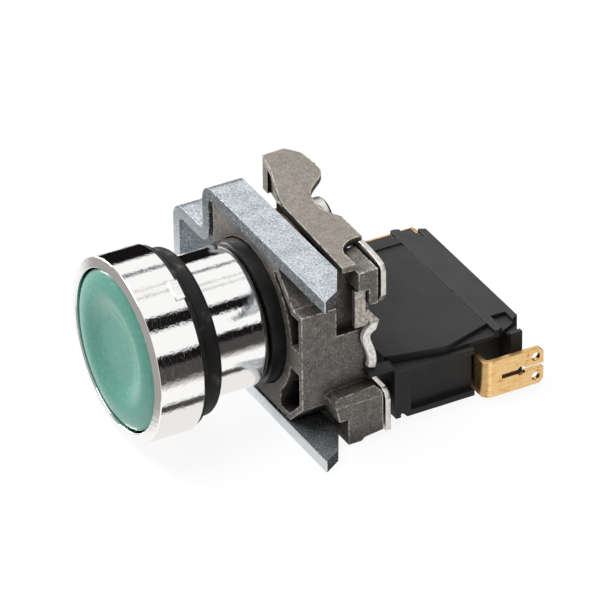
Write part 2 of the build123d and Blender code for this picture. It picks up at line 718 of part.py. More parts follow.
# Block plunger: the head pushes its stem, and its frame carries the bridge and its spring.
with BuildPart() as block_plunger:
    with BuildSketch(across(plunger_tip)):
        with Locations((0, plunger_z)):
            Rectangle(2 * plunger_half[0], 2 * plunger_half[1])
    extrude(amount=-(carrier_front - plunger_tip))
    with BuildSketch(Plane.YZ):
        with Locations((carrier_front, block_z)):
            Rectangle(carrier_rear - carrier_front, carrier_height,
                      align=(Align.MIN, Align.CENTER))
        with Locations((window_front, block_z)):
            Rectangle(bridge_rear + run_fit - window_front, bridge_width + 2 * run_fit,
                      align=(Align.MIN, Align.CENTER), mode=Mode.SUBTRACT)
    extrude(amount=3.2, both=True)
finish(block_plunger, "block_plunger", "seagreen")

plunger_spring = coil(0.25, 2.2, carrier_rear, cavity_rear, 4, z=block_z)
finish(plunger_spring, "plunger_spring", "lightsteelblue")

bridge_spring = coil(0.2, 1.4, window_front, bridge_front, 3, z=block_z)
finish(bridge_spring, "bridge_spring", "lightsteelblue")

# Bridge: copper strip that joins the two fixed contacts, with a silver tip at each end.
with BuildPart() as contact_bridge:
    with BuildSketch(across(bridge_front)):
        with Locations((0, block_z)):
            RectangleRounded(2 * bridge_half, bridge_width, 1.0)
    extrude(amount=-tab_t)
finish(contact_bridge, "contact_bridge", "goldenrod")

with BuildPart() as bridge_tips:
    with BuildSketch(across(bridge_rear)):
        with Locations((-tip_x, block_z), (tip_x, block_z)):
            Circle(tip_r)
    extrude(amount=-(tip_t - 0.02))
finish(bridge_tips, "bridge_tips", "silver")

# Terminals: the strip carries the fixed contact, leaves the block through its bay and bends
# rearwards into a split quick-connect tab.
tab_root = strip_y + tab_bend
for side, name in ((1, "near_terminal"), (-1, "far_terminal")):
    with BuildPart() as terminal:
        with BuildSketch(Plane.XY.offset(tab_z - tab_width / 2)):
            with BuildLine() as path:
                FilletPolyline((side * strip_start, strip_y), (side * (tab_reach - tab_t / 2), strip_y),
                               (side * (tab_reach - tab_t / 2), tab_end),
                               radius=tab_bend)
            trace(lines=path.wires()[0], line_width=tab_t)
        extrude(amount=tab_width)
        with BuildSketch(Plane.YZ.offset(side * tab_reach)):
            with Locations((tab_root + 1.7, tab_z)):
                Rectangle(3.5, prong_gap, align=(Align.MIN, Align.CENTER))
            with Locations((tab_root + 5.1, tab_z)):
                Circle(0.75)
                Rectangle(10, prong_gap, align=(Align.MIN, Align.CENTER))
            with Locations((tab_end - 1.3, tab_z)):
                with GridLocations(1, prong_gap + prong_width, 1, 2):
                    Circle(prong_hole_r)
        extrude(amount=1.5, both=True, mode=Mode.SUBTRACT)
        for corner in (0, -1):
            tip_edges = terminal.edges().filter_by(Axis.X).group_by(Axis.Y)[-1]
            chamfer(tip_edges.sort_by(Axis.Z)[corner], 0.7)
    finish(terminal, name, "gold")

for side, name in ((1, "near_contact"), (-1, "far_contact")):
    with BuildPart() as fixed_contact:
        with BuildSketch(across(fixed_face)):
            with Locations((side * tip_x, block_z)):
                Circle(tip_r)
        extrude(amount=-tip_t)
    finish(fixed_contact, name, "silver")
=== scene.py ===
"""Panel push button: finishes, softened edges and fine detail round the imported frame."""
import json
from math import cos, pi, radians, sin

import bmesh
import bpy
from mathutils import Matrix, Vector


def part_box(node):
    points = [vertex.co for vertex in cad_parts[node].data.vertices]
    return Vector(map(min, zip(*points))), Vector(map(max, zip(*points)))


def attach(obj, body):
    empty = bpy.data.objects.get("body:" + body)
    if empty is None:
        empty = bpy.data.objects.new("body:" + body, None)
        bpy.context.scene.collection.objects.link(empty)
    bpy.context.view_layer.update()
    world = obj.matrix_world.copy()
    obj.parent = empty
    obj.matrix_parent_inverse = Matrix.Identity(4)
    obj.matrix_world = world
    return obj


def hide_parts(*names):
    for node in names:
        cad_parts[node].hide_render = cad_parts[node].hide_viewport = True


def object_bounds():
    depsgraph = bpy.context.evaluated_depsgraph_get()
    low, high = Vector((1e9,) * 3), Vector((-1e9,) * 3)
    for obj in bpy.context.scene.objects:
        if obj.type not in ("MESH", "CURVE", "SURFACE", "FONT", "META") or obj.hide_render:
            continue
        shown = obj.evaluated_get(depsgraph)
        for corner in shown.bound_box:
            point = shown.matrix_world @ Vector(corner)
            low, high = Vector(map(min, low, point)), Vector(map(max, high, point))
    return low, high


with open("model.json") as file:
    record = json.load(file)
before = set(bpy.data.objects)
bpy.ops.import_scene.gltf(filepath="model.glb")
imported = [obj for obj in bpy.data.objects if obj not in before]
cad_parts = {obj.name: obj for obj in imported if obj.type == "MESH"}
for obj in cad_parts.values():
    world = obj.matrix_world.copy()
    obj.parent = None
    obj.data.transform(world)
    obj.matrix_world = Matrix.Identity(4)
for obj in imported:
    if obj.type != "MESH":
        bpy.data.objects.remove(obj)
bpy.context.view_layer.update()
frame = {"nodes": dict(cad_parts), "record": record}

MM = 0.001
RECESS_REAR = 44.3 * MM     # rear wall of the shallow recess on the block's cover
EDGE_RAYS = 6               # how finely the shaders look for edges and for sheltered places


# ---------------------------------------------------------------- node and colour helpers
def srgb(hex_colour):
    """Turn an sRGB hex value into the linear colour that the shader needs."""
    channels = []
    for k in (0, 2, 4):
        c = int(hex_colour[k:k + 2], 16) / 255
        channels.append(c / 12.92 if c <= 0.04045 else ((c + 0.055) / 1.055) ** 2.4)
    return (*channels, 1.0)


def cells(size_mm):
    """Noise scale at which the cells are size_mm across."""
    return 1 / (size_mm * MM)


def set_inputs(tree, node, inputs):
    """Set a node's inputs by name or index, and link those given as a node or an output.

    A node stands for its first output that is in use.
    """
    for key, value in inputs.items():
        if isinstance(value, bpy.types.Node):
            value = next(output for output in value.outputs if output.enabled)
        if isinstance(value, bpy.types.NodeSocket):
            tree.links.new(value, node.inputs[key])
        else:
            node.inputs[key].default_value = value


def add_node(tree, kind, inputs=None, stops=(), **settings):
    """Add one node with its properties, its inputs and its colour stops of (place, hex)."""
    made = tree.nodes.new(kind)
    for key, value in settings.items():
        setattr(made, key, value)
    if stops:
        elements = made.color_ramp.elements
        while len(elements) < len(stops):
            elements.new(0.5)
        for element, (position, colour) in zip(elements, stops):
            element.position = position
            element.color = srgb(colour)
    set_inputs(tree, made, inputs or {})
    return made


def new_material(name):
    """A material, its node tree, its main shader and the piece's own coordinates."""
    made = bpy.data.materials.new(name)
    made.use_nodes = True
    tree = made.node_tree
    place = add_node(tree, "ShaderNodeTexCoord").outputs["Object"]
    return made, tree, tree.nodes["Principled BSDF"], place


def facing(tree, axis):
    """How far a face turns towards an axis, from -1 to 1."""
    normal = add_node(tree, "ShaderNodeNewGeometry").outputs["True Normal"]
    return add_node(tree, "ShaderNodeSeparateXYZ", {0: normal}).outputs[axis]


def near_edge(tree, reach_mm, whole, none):
    """A mask of the edges: up to 1 within reach_mm of one, and 0 on the flat.

    It follows the cosine between the flat normal and one rounded over reach_mm, from nothing
    at the cosine none to the whole mask at the cosine whole.
    """
    rounded = add_node(tree, "ShaderNodeBevel", {"Radius": reach_mm * MM}, samples=EDGE_RAYS)
    flat = add_node(tree, "ShaderNodeNewGeometry").outputs["Normal"]
    same = add_node(tree, "ShaderNodeVectorMath", {0: rounded, 1: flat}, operation="DOT_PRODUCT")
    return add_node(tree, "ShaderNodeMapRange", {
        "Value": same, "From Min": none, "From Max": whole,
    })


# ---------------------------------------------------------------- materials
def chrome_plate():
    """Bright nickel-chrome plating on a die casting: mirror-like, with a faint orange peel."""
    made, tree, shader, place = new_material("chrome_plated_zinc")
    haze = add_node(tree, "ShaderNodeTexNoise", {"Vector": place, "Scale": cells(2.5)})
    peel = add_node(tree, "ShaderNodeTexNoise", {
        "Vector": place, "Scale": cells(0.75), "Detail": 4.0, "Roughness": 0.62,
    })
    set_inputs(tree, shader, {
        "Base Color": srgb("f8f7f6"),
        "Metallic": 1.0,
        "Roughness": add_node(tree, "ShaderNodeMapRange", {
            "Value": haze, "To Min": 0.01, "To Max": 0.03,
        }),
        "Normal": add_node(tree, "ShaderNodeBump", {
            "Height": peel, "Distance": 0.022 * MM, "Strength": 1.0,
        }),
    })
    return made


def green_plastic():
    """Moulded polyamide, satin: a soft even green with pale specks, a little translucent.

    The mould's grain is about 0.05 mm; it is drawn at 0.18 mm so that it shows.
    """
    made, tree, shader, place = new_material("moulded_green_polyamide")
    speck = add_node(tree, "ShaderNodeTexNoise", {
        "Vector": place, "Scale": cells(0.5), "Detail": 4.0,
    })
    mould = add_node(tree, "ShaderNodeTexNoise", {"Vector": place, "Scale": cells(0.18)})
    set_inputs(tree, shader, {
        "Base Color": add_node(tree, "ShaderNodeValToRGB", {"Fac": speck}, stops=[
            (0.25, "4a8273"), (0.62, "518d7d"), (0.80, "7eaa9c"),
        ]),
        "Roughness": 0.28,
        "Subsurface Weight": 0.05,
        "Subsurface Radius": (0.0006, 0.0012, 0.0009),
        "Normal": add_node(tree, "ShaderNodeBump", {
            "Height": mould, "Distance": 0.004 * MM, "Strength": 0.5,
        }),
    })
    return made


def black_rubber():
    """Moulded nitrile rubber: near black and matt, with dusty scuffs."""
    made, tree, shader, place = new_material("nitrile_rubber")
    scuff = add_node(tree, "ShaderNodeTexNoise", {
        "Vector": place, "Scale": cells(2.2), "Detail": 5.0, "Roughness": 0.6,
    })
    skin = add_node(tree, "ShaderNodeTexNoise", {
        "Vector": place, "Scale": cells(0.5), "Detail": 4.0,
    })
    set_inputs(tree, shader, {
        "Base Color": add_node(tree, "ShaderNodeValToRGB", {"Fac": scuff}, stops=[
            (0.42, "100f0e"), (0.58, "1a1918"), (0.72, "4b4744"),
        ]),
        "Specular IOR Level": 0.25,
        "Roughness": 0.62,
        "Normal": add_node(tree, "ShaderNodeBump", {
            "Height": skin, "Distance": 0.02 * MM, "Strength": 0.6,
        }),
    })
    return made


def plastic(name, dark, pale, roughness, grit_mm, depth_mm=0.01):
    """Moulded engineering plastic: faintly clouded, with the grain of a spark-eroded mould.

    The real grain is about 0.05 mm; it is drawn coarser, at grit_mm, so that it shows.
    """
    made, tree, shader, place = new_material(name)
    cloud = add_node(tree, "ShaderNodeTexNoise", {
        "Vector": place, "Scale": cells(3.0), "Detail": 3.0,
    })
    grit = add_node(tree, "ShaderNodeTexNoise", {
        "Vector": place, "Scale": cells(grit_mm), "Detail": 3.0,
    })
    set_inputs(tree, shader, {
        "Base Color": add_node(tree, "ShaderNodeValToRGB", {"Fac": cloud}, stops=[
            (0.3, dark), (0.7, pale),
        ]),
        "Roughness": roughness,
        "Normal": add_node(tree, "ShaderNodeBump", {
            "Height": grit, "Distance": depth_mm * MM, "Strength": 0.6,
        }),
    })
    return made


def cast_zinc(name, dark, middle, pale, scuffed_and_highlit):
    """Bare zinc die casting: a dull brownish grey skin, darkened by painted shade where it is
    sheltered.

    Edges are rubbed bright in places, partly real wear and partly painted highlight, and a few
    specks shine. The real skin's grit is about 0.1 mm; it is drawn at 0.3 mm so that it
    shows.
    """
    made, tree, shader, place = new_material(name)
    cloud = add_node(tree, "ShaderNodeTexNoise", {
        "Vector": place, "Scale": cells(1.1), "Detail": 6.0, "Roughness": 0.75,
    })
    grit = add_node(tree, "ShaderNodeTexNoise", {
        "Vector": place, "Scale": cells(0.30), "Detail": 3.0, "Roughness": 0.8,
    })
    skin = add_node(tree, "ShaderNodeValToRGB", {
        "Fac": add_node(tree, "ShaderNodeMix", {"Factor": 0.6, "A": cloud, "B": grit}),
    }, stops=[(0.34, dark), (0.50, middle), (0.66, pale)])
    patches = add_node(tree, "ShaderNodeTexNoise", {
        "Vector": place, "Scale": cells(0.7), "Detail": 3.0, "Roughness": 0.7,
    })
    rubbed = add_node(tree, "ShaderNodeMapRange", {
        "Value": patches, "From Min": 0.44, "From Max": 0.52,
    })
    # The bright edges are partly rubbed wear and partly a painted highlight.
    worn_and_highlit_edges = add_node(tree, "ShaderNodeMath", {
        0: near_edge(tree, 0.38, whole=0.93, none=0.985), 1: rubbed,
    }, operation="MULTIPLY")
    dots = add_node(tree, "ShaderNodeTexNoise", {
        "Vector": place, "Scale": cells(0.33), "Detail": 3.0, "Roughness": 0.75,
    })
    speck = add_node(tree, "ShaderNodeMapRange", {
        "Value": dots, "From Min": 0.66, "From Max": 0.71,
    })
    bright = add_node(tree, "ShaderNodeMath", {0: worn_and_highlit_edges, 1: speck}, operation="MAXIMUM")
    metal = add_node(tree, "ShaderNodeMix", {
        "Factor": bright, "A": skin, "B": srgb(scuffed_and_highlit),
    }, data_type="RGBA")
    # Painted shade: sheltered places and recesses are darkened towards 1c1a19.
    painted_shade_occlusion = add_node(tree, "ShaderNodeAmbientOcclusion", {"Distance": 5 * MM},
                       samples=EDGE_RAYS)
    unshaded_share = add_node(tree, "ShaderNodeMapRange", {
        "Value": painted_shade_occlusion.outputs["AO"], "From Min": 0.35, "From Max": 0.85,
    })
    pitted = add_node(tree, "ShaderNodeTexNoise", {
        "Vector": place, "Scale": cells(0.35), "Detail": 5.0, "Roughness": 0.7,
    })
    set_inputs(tree, shader, {
        "Base Color": add_node(tree, "ShaderNodeMix", {
            "Factor": unshaded_share, "A": srgb("1c1a19"), "B": metal,
        }, data_type="RGBA"),
        "Metallic": 0.55,
        "Roughness": add_node(tree, "ShaderNodeMapRange", {
            "Value": cloud, "To Min": 0.45, "To Max": 0.62,
        }),
        "Normal": add_node(tree, "ShaderNodeBump", {
            "Height": pitted, "Distance": 0.06 * MM, "Strength": 0.9,
        }),
    })
    return made


def zinc_plated_steel():
    """Cold-rolled strip, barrel plated in clear zinc: bluish, frosted, with painted highlights as
    pale edge lines.

    Its sheared faces, which look along the button's axis, are duller, with painted shade
    making them dark at the top and painted light making them paler towards the bottom. The
    real frost is about 0.1 mm; it is drawn at 0.35 mm so that it shows.
    """
    made, tree, shader, place = new_material("zinc_plated_steel")
    frost = add_node(tree, "ShaderNodeTexNoise", {
        "Vector": place, "Scale": cells(0.35), "Detail": 6.0, "Roughness": 0.8,
    })
    cloud = add_node(tree, "ShaderNodeTexNoise", {
        "Vector": place, "Scale": cells(2.6), "Detail": 4.0, "Roughness": 0.6,
    })
    skin = add_node(tree, "ShaderNodeValToRGB", {
        "Fac": add_node(tree, "ShaderNodeMix", {"Factor": 0.25, "A": frost, "B": cloud}),
    }, stops=[(0.38, "949ca1"), (0.48, "ccd4d9"), (0.58, "f6fbff")])
    # Painted highlight: pale lines along the edges.
    edge_highlighted_skin = add_node(tree, "ShaderNodeMix", {
        "Factor": near_edge(tree, 0.20, whole=0.90, none=0.99), "A": skin, "B": srgb("ffffff"),
    }, data_type="RGBA")
    across = add_node(tree, "ShaderNodeMath", {0: facing(tree, "Y")}, operation="ABSOLUTE")
    sheared = add_node(tree, "ShaderNodeMapRange", {
        "Value": across, "From Min": 0.70, "From Max": 0.98, "To Max": 0.85,
    })
    # Painted shade and light on the sheared faces: dark at the top, paler towards the bottom.
    painted_light_below = add_node(tree, "ShaderNodeMapRange", {
        "Value": add_node(tree, "ShaderNodeSeparateXYZ", {0: place}).outputs["Z"],
        "From Min": 11 * MM, "From Max": -13 * MM,
    })
    painted_shade_upper_cut = add_node(tree, "ShaderNodeValToRGB", {"Fac": frost}, stops=[
        (0.38, "2c3133"), (0.50, "4d5356"), (0.62, "969da1"),
    ])
    cut_light_and_shade = add_node(tree, "ShaderNodeMix", {
        "Factor": painted_light_below, "A": painted_shade_upper_cut, "B": srgb("eef2f4"),
    }, data_type="RGBA")
    frosted = add_node(tree, "ShaderNodeMapRange", {
        "Value": frost, "To Min": 0.18, "To Max": 0.34,
    })
    set_inputs(tree, shader, {
        "Base Color": add_node(tree, "ShaderNodeMix", {
            "Factor": sheared, "A": edge_highlighted_skin, "B": cut_light_and_shade,
        }, data_type="RGBA"),
        "Metallic": 0.9,
        "Roughness": add_node(tree, "ShaderNodeMath", {0: frosted, 1: sheared},
                              operation="MAXIMUM"),
        "Normal": add_node(tree, "ShaderNodeBump", {
            "Height": frost, "Distance": 0.04 * MM, "Strength": 0.8,
        }),
    })
    return made


def rolled_metal(name, dark, pale, roughness):
    """Rolled or drawn metal: an even bright finish with light handling marks."""
    made, tree, shader, place = new_material(name)
    cloud = add_node(tree, "ShaderNodeTexNoise", {
        "Vector": place, "Scale": cells(1.2), "Detail": 4.0, "Roughness": 0.6,
    })
    marks = add_node(tree, "ShaderNodeTexNoise", {
        "Vector": place, "Scale": cells(0.4), "Detail": 3.0,
    })
    set_inputs(tree, shader, {
        "Base Color": add_node(tree, "ShaderNodeValToRGB", {"Fac": cloud}, stops=[
            (0.35, dark), (0.65, pale),
        ]),
        "Metallic": 1.0,
        "Roughness": roughness,
        "Normal": add_node(tree, "ShaderNodeBump", {
            "Height": marks, "Distance": 0.01 * MM, "Strength": 0.5,
        }),
    })
    return made


def latch_steel():
    """Stamped spring strip: bright where it is bent in waves, dull and brownish on its bar."""
    made, tree, shader, place = new_material("spring_steel_strip")
    cloud = add_node(tree, "ShaderNodeTexNoise", {
        "Vector": place, "Scale": cells(0.6), "Detail": 4.0, "Roughness": 0.7,
    })
    bar = add_node(tree, "ShaderNodeMapRange", {
        "Value": add_node(tree, "ShaderNodeSeparateXYZ", {0: place}).outputs["Z"],
        "From Min": 3.7 * MM, "From Max": 4.0 * MM,
    })
    bright = add_node(tree, "ShaderNodeValToRGB", {"Fac": cloud}, stops=[
        (0.36, "cdcac4"), (0.56, "fffdf9"),
    ])
    dull = add_node(tree, "ShaderNodeValToRGB", {"Fac": cloud}, stops=[
        (0.40, "958f87"), (0.60, "cdc7be"),
    ])
    set_inputs(tree, shader, {
        "Base Color": add_node(tree, "ShaderNodeMix", {
            "Factor": bar, "A": bright, "B": dull,
        }, data_type="RGBA"),
        "Metallic": add_node(tree, "ShaderNodeMapRange", {
            "Value": bar, "To Min": 0.35, "To Max": 0.9,
        }),
        "Roughness": 0.32,
        "Normal": add_node(tree, "ShaderNodeBump", {
            "Height": cloud, "Distance": 0.02 * MM, "Strength": 0.6,
        }),
    })
    return made


def block_plastic():
    """Glass-filled polyamide: paler and chalky on top at the rear, darker everywhere else.

    The mould's grain is about 0.05 mm; it is drawn at 0.16 mm so that it shows.
    """
    made, tree, shader, place = new_material("moulded_dark_grey_polyamide")
    cloud = add_node(tree, "ShaderNodeTexNoise", {
        "Vector": place, "Scale": cells(3.0), "Detail": 3.0,
    })
    grit = add_node(tree, "ShaderNodeTexNoise", {
        "Vector": place, "Scale": cells(0.16), "Detail": 3.0,
    })
    rear = add_node(tree, "ShaderNodeMapRange", {
        "Value": add_node(tree, "ShaderNodeSeparateXYZ", {0: place}).outputs["Y"],
        "From Min": RECESS_REAR - 0.1 * MM, "From Max": RECESS_REAR + 0.1 * MM,
    })
    upper = add_node(tree, "ShaderNodeMapRange", {
        "Value": facing(tree, "Z"), "From Min": 0.6, "From Max": 0.9,
    })
    chalky = add_node(tree, "ShaderNodeMath", {0: rear, 1: upper}, operation="MULTIPLY")
    smooth = add_node(tree, "ShaderNodeValToRGB", {"Fac": cloud}, stops=[
        (0.3, "0f0f10"), (0.7, "191919"),
    ])
    chalk = add_node(tree, "ShaderNodeValToRGB", {"Fac": cloud}, stops=[
        (0.3, "1e1e1f"), (0.7, "272728"),
    ])
    set_inputs(tree, shader, {
        "Base Color": add_node(tree, "ShaderNodeMix", {
            "Factor": chalky, "A": smooth, "B": chalk,
        }, data_type="RGBA"),
        "Roughness": 0.55,
        "Normal": add_node(tree, "ShaderNodeBump", {
            "Height": grit, "Distance": 0.01 * MM, "Strength": 0.6,
        }),
    })
    return made


def rolled_brass():
    """Half-hard brass strip: golden, streaked along its roll, browned in spots and on edges.

    The real roll marks are about 0.05 mm wide; they are drawn at 0.25 mm so that they show.
    """
    made, tree, shader, place = new_material("rolled_brass")
    along = add_node(tree, "ShaderNodeMapping", {"Vector": place, "Scale": (1.0, 0.08, 1.0)})
    streak = add_node(tree, "ShaderNodeTexNoise", {
        "Vector": along, "Scale": cells(0.25), "Detail": 3.0,
    })
    spot = add_node(tree, "ShaderNodeTexNoise", {
        "Vector": place, "Scale": cells(0.9), "Detail": 4.0, "Roughness": 0.7,
    })
    both = add_node(tree, "ShaderNodeMath", {0: streak, 1: spot}, operation="ADD")
    mean = add_node(tree, "ShaderNodeMath", {0: both, 1: 0.5}, operation="MULTIPLY")
    skin = add_node(tree, "ShaderNodeValToRGB", {"Fac": mean}, stops=[
        (0.36, "b07a42"), (0.43, "fac986"), (0.62, "ffdda0"),
    ])
    set_inputs(tree, shader, {
        "Base Color": add_node(tree, "ShaderNodeMix", {
            "Factor": near_edge(tree, 0.16, whole=0.80, none=0.99),
            "A": skin, "B": srgb("a8763e"),
        }, data_type="RGBA"),
        "Metallic": 1.0,
        "Roughness": 0.30,
        "Normal": add_node(tree, "ShaderNodeBump", {
            "Height": streak, "Distance": 0.006 * MM, "Strength": 0.5,
        }),
    })
    return made


CHROME = chrome_plate()
GREEN = green_plastic()
RUBBER = black_rubber()
# On the glossier bayonet ring a broad ripple of the moulding shows in place of the grain.
BLACK = plastic("moulded_black_polyamide", "040404", "0b0b0b", 0.33, grit_mm=1.1, depth_mm=0.12)
GREY = plastic("moulded_grey_acetal", "5a5c5c", "666868", 0.45, grit_mm=0.15)
BLOCK = block_plastic()
CASTING = cast_zinc("zinc_die_casting", "3d3a37", "74706b", "a29c95", "f6f1e8")
# The lever's handle is the same zinc casting in lighter colours: painted light on its
# upward-facing plate.
HANDLE_LIT_CASTING = cast_zinc("zinc_die_casting_handle_lit", "655f58", "867f76", "a39c92", "d2ccc2")
PLATED = zinc_plated_steel()
BRIGHT = rolled_metal("nickel_plated_steel", "d0cdc6", "efece6", 0.30)
SPRING = rolled_metal("spring_steel_wire", "77746f", "96938e", 0.35)
LATCH = latch_steel()
BRASS = rolled_brass()
COPPER = rolled_metal("copper_alloy_strip", "9a5c33", "bf7d4c", 0.35)
SILVER = rolled_metal("silver_contact_alloy", "c9c7c2", "e2e0dc", 0.3)


# ---------------------------------------------------------------- mesh helpers
SHARP_DEG = 20      # an edge of a CAD node that turns by more than this is softened


def piece(name, data, body, slot, material, *nodes, smooth_deg=40):
    """Turn a bmesh into a finished piece that rides on a body and stands for CAD nodes."""
    mesh = bpy.data.meshes.new(name)
    data.to_mesh(mesh)
    data.free()
    made = bpy.data.objects.new(name, mesh)
    bpy.context.scene.collection.objects.link(made)
    mesh.materials.append(material)
    for face in mesh.polygons:
        face.use_smooth = True
    mesh.set_sharp_from_angle(angle=radians(smooth_deg))
    even = made.modifiers.new("even_normals", "WEIGHTED_NORMAL")
    even.keep_sharp = True
    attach(made, body)
    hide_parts(*nodes)


def merged_copy(node):
    """A bmesh copy of a CAD node, with doubles merged and flat areas made whole faces."""
    data = bmesh.new()
    data.from_mesh(frame["nodes"][node].data)
    bmesh.ops.remove_doubles(data, verts=data.verts, dist=0.002 * MM)
    bmesh.ops.dissolve_limit(data, angle_limit=radians(1.0), verts=data.verts, edges=data.edges)
    return data


def round_edges(data, edges, width_mm):
    """Round the given edges in two steps."""
    bmesh.ops.bevel(data, geom=edges, offset=width_mm * MM, segments=2, profile=0.5,
                    affect="EDGES", clamp_overlap=True, material=-1)


def soften(data, width_mm):
    """Round every edge that turns by more than SHARP_DEG."""
    sharp = [edge for edge in data.edges if len(edge.link_faces) == 2
             and edge.calc_face_angle() > radians(SHARP_DEG)]
    round_edges(data, sharp, width_mm)


def spun(profile, steps):
    """A full turn about Y of a closed profile of (radius, y) points in millimetres."""
    data = bmesh.new()
    ring = [data.verts.new((r * MM, y * MM, 0)) for r, y in profile]
    edges = [data.edges.new((a, b)) for a, b in zip(ring, ring[1:] + ring[:1])]
    bmesh.ops.spin(data, geom=ring + edges, cent=(0, 0, 0), axis=(0, 1, 0), angle=2 * pi,
                   steps=steps, use_merge=True)
    bmesh.ops.remove_doubles(data, verts=data.verts, dist=0.001 * MM)
    bmesh.ops.recalc_face_normals(data, faces=data.faces)
    return data


# ---------------------------------------------------------------- softened copies of CAD nodes
body_of = {node: body for body, nodes in frame["record"]["behaviour"]["bodies"].items()
           for node in nodes}
slot_of = {entry["node"]: entry["material_slot"] for entry in frame["record"]["subparts"]}

# Each node's finish, and how far its sharp edges are rounded, in millimetres.
FINISHES = {
    "collar_body": (CASTING, 0.12), "locking_lever": (HANDLE_LIT_CASTING, 0.12),
    "clamp_bracket": (PLATED, 0.18), "clamp_screw": (BRIGHT, 0.12),
    "latch_plate": (BRIGHT, 0.08), "latch_spring": (LATCH, 0.10),
    "block_case": (BLOCK, 0.10), "block_cover": (BLOCK, 0.08),
    "near_terminal": (BRASS, 0.07), "far_terminal": (BRASS, 0.07),
}
for node, (material, width) in FINISHES.items():
    copy = merged_copy(node)
    soften(copy, width)
    piece(f"{node}_finish", copy, body_of[node], slot_of[node], material, node)


# ---------------------------------------------------------------- turned and moulded round pieces
def arc(centre, radius, start, end, steps):
    """Points of an arc, in (radius, y), between two angles in degrees."""
    points = []
    for k in range(steps + 1):
        a = radians(start + (end - start) * k / steps)
        points.append((centre[0] + radius * cos(a), centre[1] + radius * sin(a)))
    return points


def box_mm(node):
    """Lowest and highest corner of a CAD node in millimetres."""
    return [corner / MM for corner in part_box(node)]


BEZEL_LOW, BEZEL_HIGH = box_mm("bezel_body")
CAP_LOW, CAP_HIGH = box_mm("button_cap")
GASKET_LOW, GASKET_HIGH = box_mm("panel_gasket")
RING_LOW, RING_HIGH = box_mm("bayonet_ring")


def pad(data, size_mm, radius, y, angle_deg, edge_mm):
    """Add a small block with soft edges on a turned surface, at an angle from +X towards +Z."""
    made = bmesh.ops.create_cube(data, size=1.0)["verts"]
    bmesh.ops.scale(data, verts=made, vec=[side * MM for side in size_mm])
    bmesh.ops.translate(data, verts=made, vec=(radius * MM, y * MM, 0))
    bmesh.ops.rotate(data, verts=made, cent=(0, 0, 0),
                     matrix=Matrix.Rotation(-radians(angle_deg), 3, "Y"))
    round_edges(data, list({edge for vert in made for edge in vert.link_edges}), edge_mm)


def bezel():
    """Chrome bezel, neck and tail: a turned profile with rolled edges, a keying pad and lugs."""
    front, rim_rear = BEZEL_LOW.y, GASKET_LOW.y
    rim, bore = -BEZEL_LOW.x, CAP_HIGH.x + 0.2
    roll, rim_front, rim_edge = 0.2, 0.42, 0.25     # rolled lip, its slant back, the rear edge
    web, guide, inside, stem = 1.2, 8.6, 9.6, 6.1   # web behind the cap, and the three bores
    neck, shoulder, neck_end = 11.0, 1.2, RING_LOW.y
    tail, wall, tail_end = RING_HIGH.x - 1.05, 1.0, BEZEL_HIGH.y
    data = spun(
        arc((rim - roll, front + rim_front), roll, 0, -82, 4)
        + arc((bore + roll, front + roll), roll, -98, -180, 3)
        + [(bore, rim_rear - web), (guide, rim_rear - web), (guide, rim_rear + 0.3),
           (inside, rim_rear + 0.3), (inside, neck_end - 1.25), (stem, neck_end - 1.25),
           (stem, neck_end), (tail - wall, neck_end), (tail - wall, tail_end),
           (tail, tail_end), (tail, neck_end)]
        + arc((neck - shoulder, neck_end - shoulder), shoulder, 90, 0, 8)
        + [(neck, rim_rear)]
        + arc((rim - rim_edge, rim_rear - rim_edge), rim_edge, 90, 0, 3),
        steps=160)
    key, lug = (1.0, 1.5, 3.2), (1.6, 1.5, 3.6)     # outwards, along the axis, round it
    pad(data, key, rim - 0.25, rim_rear - key[1] / 2, 60.0, edge_mm=0.08)
    for angle in (-30.0, 90.0, 210.0):
        pad(data, lug, tail + 0.2, tail_end - lug[1] / 2, angle, edge_mm=0.1)
    piece("bezel_turned", data, "base", "chrome_plating", CHROME, "bezel_body", smooth_deg=32)


def cap():
    """Green cap: a soft rounded rim about a shallow dish, with its skirt and snap ring."""
    front, edge = CAP_LOW.y, CAP_HIGH.x
    back_plate = front + 2.0
    skirt, skirt_wall = back_plate + 0.25, 1.2
    rim_width, rim_drop = 3.3, 1.1
    crest, floor_r, dish_depth = edge - rim_width, 4.8, 0.9
    snap_in, snap_out = 4.9, 6.2
    dish = [(floor_r + (crest - floor_r) * k / 10,
             front + dish_depth / 2 * (1 + cos(pi * k / 10))) for k in range(10)]
    rim = [(crest + rim_width * sin(pi * k / 20),
            front + rim_drop * (1 - cos(pi * k / 20))) for k in range(11)]
    data = spun(
        [(0.0, back_plate), (0.0, front + 0.95), (floor_r / 2, front + 0.94)] + dish + rim
        + [(edge, skirt), (edge - skirt_wall, skirt), (edge - skirt_wall, back_plate),
           (snap_out, back_plate), (snap_out, CAP_HIGH.y), (snap_in, CAP_HIGH.y),
           (snap_in, back_plate)],
        steps=160)
    piece("cap_moulded", data, "button", "green_plastic", GREEN, "button_cap")


def gasket():
    """Rubber gasket: a flange against the bezel, and a ring with a rounded rear lip."""
    inner, front, rear = 11.05, GASKET_LOW.y, GASKET_HIGH.y
    flange, wall = GASKET_HIGH.x, 13.1
    edge, lip = 0.3, 0.7
    data = spun(
        [(inner, front)]
        + arc((flange - edge, front + edge), edge, -90, 0, 3)
        + arc((flange - edge, front + 2 * edge), edge, 0, 90, 3)
        + [(wall + 0.25, front + 1.0), (wall, front + 1.3)]
        + arc((wall - lip, rear - lip), lip, 0, 90, 4)
        + [(inner, rear)],
        steps=128)
    piece("gasket_moulded", data, "base", "black_rubber", RUBBER, "panel_gasket", smooth_deg=50)


bezel()
cap()
gasket()

